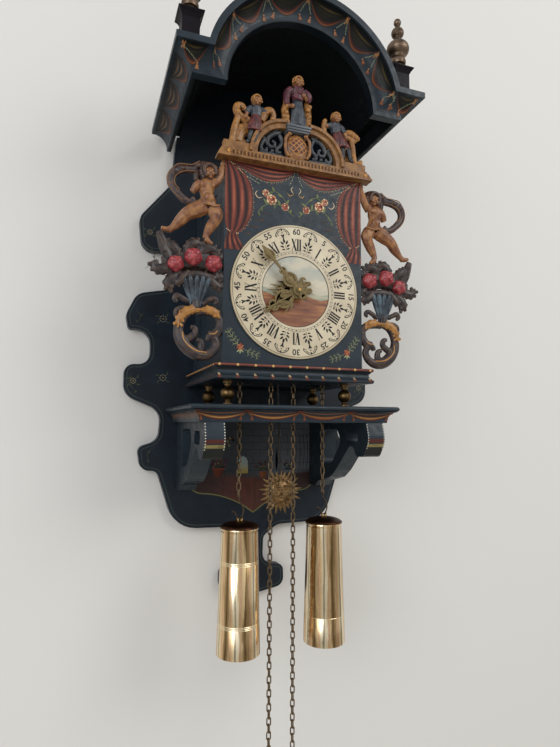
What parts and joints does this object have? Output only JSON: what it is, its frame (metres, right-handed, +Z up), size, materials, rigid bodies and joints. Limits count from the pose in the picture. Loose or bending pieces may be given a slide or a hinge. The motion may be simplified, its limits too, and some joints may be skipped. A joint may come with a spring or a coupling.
{
  "type": "wall clock",
  "caption": "Painted wooden wall clock on a bracketed stool, with arched canopy, carved crest and side ornaments, chain-driven weights, twin-train movement and sun pendulum.",
  "frame": {"origin": "wall face of the backboard, level with the centre of the dial, on the centre line", "axes": "+Z up, +Y into the wall, the front faces -Y"},
  "size_m": [0.398, 0.2415, 1.0208],
  "materials": {
    "board_paint": "aged blue-black paint",
    "iron": "dull",
    "canopy_black": "matt black paint",
    "canopy_paint": "aged slate blue paint with swags",
    "pedestal_paint": "aged purple-black paint",
    "finial_bronze": "bronzed turned wood",
    "crest_gilt": "worn gold-brown paint",
    "crest_dark": "blue-black paint",
    "figure_paint": "painted carving",
    "rose_paint": "painted carving",
    "scroll_paint": "painted carving",
    "case_paint": "slate blue paint with curtains",
    "foot_bronze": "bronze paint",
    "dial_paint": "cream with numerals",
    "dial_scene": "painted",
    "hands_brass": "gilt",
    "stool_paint": "slate blue paint with swags",
    "movement_brass": "polished",
    "bob_brass": "pressed brass",
    "weight_brass": "aged brass",
    "chain_bronze": "dark"
  },
  "bodies": {
    "clock": {"backboard": "board_paint", "hanger_plate": "iron", "canopy_vault": "canopy_black", "canopy_fascia": "canopy_paint", "canopy_cornice": "canopy_paint", "canopy_pedestals": "pedestal_paint", "canopy_finials": "finial_bronze", "crest_rail": "crest_gilt", "crest_pediment": "crest_gilt", "crest_scrollwork": "crest_dark", "crest_shield": "crest_gilt", "crest_figures": "figure_paint", "case_front": "case_paint", "case_posts": "case_paint", "case_top": "case_paint", "case_back": "case_paint", "case_base": "case_paint", "ball_feet": "foot_bronze", "cherub_left": "figure_paint", "cherub_right": "figure_paint", "basket_left": "rose_paint", "basket_right": "rose_paint", "scroll_left": "scroll_paint", "scroll_right": "scroll_paint", "chapter_ring": "dial_paint", "dial_centre": "dial_scene", "stool_shelf": "stool_paint", "bracket_left": "stool_paint", "bracket_right": "stool_paint", "plate_front": "movement_brass", "plate_back": "movement_brass", "plate_pillars": "movement_brass", "bell": "movement_brass", "bell_stand": "movement_brass", "suspension_cock": "iron"},
    "minute_hand": {"minute_hand": "hands_brass", "hand_nut": "hands_brass", "cannon_pinion": "movement_brass"},
    "hour_hand": {"hour_hand": "hands_brass", "hour_wheel": "movement_brass"},
    "minute_wheel": {"minute_wheel": "movement_brass"},
    "pendulum": {"pendulum_rod": "iron", "sun_bob": "bob_brass"},
    "anchor": {"anchor": "iron"},
    "weight_left": {"weight_left": "weight_brass", "chain_left": "chain_bronze"},
    "sprocket_left": {"sprocket_left": "movement_brass"},
    "free_chain_left": {"chain_left_free": "chain_bronze"},
    "centre_wheel": {"centre_wheel": "movement_brass"},
    "third_wheel": {"third_wheel": "movement_brass"},
    "escape_wheel": {"escape_wheel": "movement_brass"},
    "weight_right": {"weight_right": "weight_brass", "chain_right": "chain_bronze"},
    "sprocket_right": {"sprocket_right": "movement_brass"},
    "free_chain_right": {"chain_right_free": "chain_bronze"},
    "pin_wheel": {"pin_wheel": "movement_brass"},
    "fly": {"fly": "movement_brass"},
    "hammer": {"hammer": "movement_brass"},
    "door_left": {"door_left": "case_paint"},
    "door_right": {"door_right": "case_paint"}
  },
  "joints": [
    {"name": "minute_hand_turn", "type": "hinge", "parent": "clock", "child": "minute_hand", "pos_m": [0, -0.142, 0], "axis": [0, 1, 0], "continuous": true},
    {"name": "hour_hand_turn", "type": "hinge", "parent": "clock", "child": "hour_hand", "pos_m": [0, -0.142, 0], "axis": [0, 1, 0], "continuous": true},
    {"name": "minute_wheel_turn", "type": "hinge", "parent": "clock", "child": "minute_wheel", "pos_m": [0, -0.142, -0.018], "axis": [0, 1, 0], "continuous": true},
    {"name": "pendulum_swing", "type": "hinge", "parent": "clock", "child": "pendulum", "pos_m": [0, -0.108, 0.067], "axis": [0, -1, 0], "range_deg": [-5.4, 1.6]},
    {"name": "anchor_rock", "type": "hinge", "parent": "clock", "child": "anchor", "pos_m": [0, -0.142, 0.067], "axis": [0, -1, 0], "range_deg": [-5.4, 1.6]},
    {"name": "weight_left_drop", "type": "slide", "parent": "clock", "child": "weight_left", "axis": [0, 0, -1], "range_m": [-0.1, 0.12], "deforming": ["chain_left"]},
    {"name": "sprocket_left_turn", "type": "hinge", "parent": "clock", "child": "sprocket_left", "pos_m": [-0.038, -0.142, -0.01789], "axis": [0, 1, 0], "continuous": true},
    {"name": "free_chain_left_run", "type": "slide", "parent": "clock", "child": "free_chain_left", "axis": [0, 0, -1], "range_m": [-0.12, 0.12], "deforming": ["chain_left_free"]},
    {"name": "centre_wheel_turn", "type": "hinge", "parent": "clock", "child": "centre_wheel", "pos_m": [0, -0.142, 0], "axis": [0, 1, 0], "continuous": true},
    {"name": "third_wheel_turn", "type": "hinge", "parent": "clock", "child": "third_wheel", "pos_m": [0, -0.142, 0.024], "axis": [0, 1, 0], "continuous": true},
    {"name": "escape_wheel_turn", "type": "hinge", "parent": "clock", "child": "escape_wheel", "pos_m": [0, -0.142, 0.045], "axis": [0, 1, 0], "continuous": true},
    {"name": "weight_right_drop", "type": "slide", "parent": "clock", "child": "weight_right", "axis": [0, 0, -1], "range_m": [-0.1, 0.12], "deforming": ["chain_right"]},
    {"name": "sprocket_right_turn", "type": "hinge", "parent": "clock", "child": "sprocket_right", "pos_m": [0.038, -0.142, -0.01789], "axis": [0, 1, 0], "continuous": true},
    {"name": "free_chain_right_run", "type": "slide", "parent": "clock", "child": "free_chain_right", "axis": [0, 0, -1], "range_m": [-0.12, 0.12], "deforming": ["chain_right_free"]},
    {"name": "pin_wheel_turn", "type": "hinge", "parent": "clock", "child": "pin_wheel", "pos_m": [0.038, -0.142, 0.02411], "axis": [0, 1, 0], "continuous": true},
    {"name": "fly_turn", "type": "hinge", "parent": "clock", "child": "fly", "pos_m": [0.038, -0.142, 0.04811], "axis": [0, 1, 0], "continuous": true},
    {"name": "hammer_swing", "type": "hinge", "parent": "clock", "child": "hammer", "pos_m": [0.055, -0.142, 0.051], "axis": [0, 1, 0], "range_deg": [0, 12]},
    {"name": "door_left_open", "type": "hinge", "parent": "clock", "child": "door_left", "pos_m": [-0.0935, -0.0346, 0.03], "axis": [0, 0, -1], "range_deg": [0, 92]},
    {"name": "door_right_open", "type": "hinge", "parent": "clock", "child": "door_right", "pos_m": [0.0935, -0.0346, 0.03], "axis": [0, 0, 1], "range_deg": [0, 92]}
  ],
  "couplings": [
    {"joint": "hour_hand_turn", "follows": "minute_hand_turn", "ratio": 0.083333},
    {"joint": "minute_wheel_turn", "follows": "minute_hand_turn", "ratio": -0.33333},
    {"joint": "anchor_rock", "follows": "pendulum_swing", "ratio": 1},
    {"joint": "sprocket_left_turn", "follows": "weight_left_drop", "rad_per_m": -45.904},
    {"joint": "free_chain_left_run", "follows": "weight_left_drop", "ratio": -1},
    {"joint": "centre_wheel_turn", "follows": "weight_left_drop", "rad_per_m": 275.42},
    {"joint": "third_wheel_turn", "follows": "weight_left_drop", "rad_per_m": -1101.7},
    {"joint": "escape_wheel_turn", "follows": "weight_left_drop", "rad_per_m": 4406.7},
    {"joint": "sprocket_right_turn", "follows": "weight_right_drop", "rad_per_m": 45.904},
    {"joint": "free_chain_right_run", "follows": "weight_right_drop", "ratio": -1},
    {"joint": "pin_wheel_turn", "follows": "weight_right_drop", "rad_per_m": -275.42},
    {"joint": "fly_turn", "follows": "weight_right_drop", "rad_per_m": 1101.7}
  ]
}
